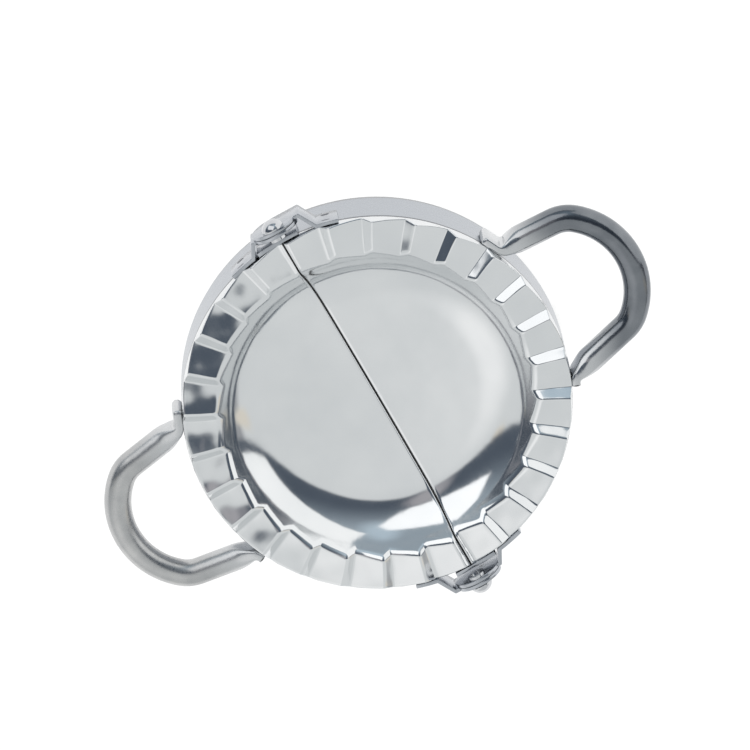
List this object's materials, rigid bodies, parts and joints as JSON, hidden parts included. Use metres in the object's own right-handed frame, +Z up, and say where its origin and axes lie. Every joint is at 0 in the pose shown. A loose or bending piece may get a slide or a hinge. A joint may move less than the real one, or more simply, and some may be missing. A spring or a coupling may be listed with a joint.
{
  "type": "dough press",
  "caption": "Hinged stainless dough press with fluted half moulds, round cutter bands and loop handles, lying open.",
  "frame": {"origin": "centre of the footprint at the height of the cutting edges, which lie on the table", "axes": "X runs through both handles, Y along the hinge line toward the rear rivet, Z up out of the open moulds"},
  "size_m": [0.1556, 0.1148, 0.0254],
  "materials": {
    "polished_steel": "polished pressed sheet",
    "band_steel": "smooth rolled strip with a ground edge",
    "satin_steel": "satin drawn tube",
    "strap_steel": "smooth stamped strip",
    "rivet_steel": "bright domed head"
  },
  "bodies": {
    "right_half": {"right_mold": "polished_steel", "right_cutter_band": "band_steel", "right_handle": "satin_steel", "right_outer_strap": "strap_steel", "right_inner_strap": "strap_steel", "right_lap_plate": "strap_steel", "front_rivet": "rivet_steel", "rear_rivet": "rivet_steel"},
    "left_half": {"left_mold": "polished_steel", "left_cutter_band": "band_steel", "left_handle": "satin_steel", "left_outer_strap": "strap_steel", "left_inner_strap": "strap_steel", "left_lap_plate": "strap_steel"}
  },
  "joints": [
    {"name": "fold", "type": "hinge", "parent": "right_half", "child": "left_half", "pos_m": [0, 0, 0.02245], "axis": [0, 1, 0], "range_deg": [0, 180]}
  ]
}
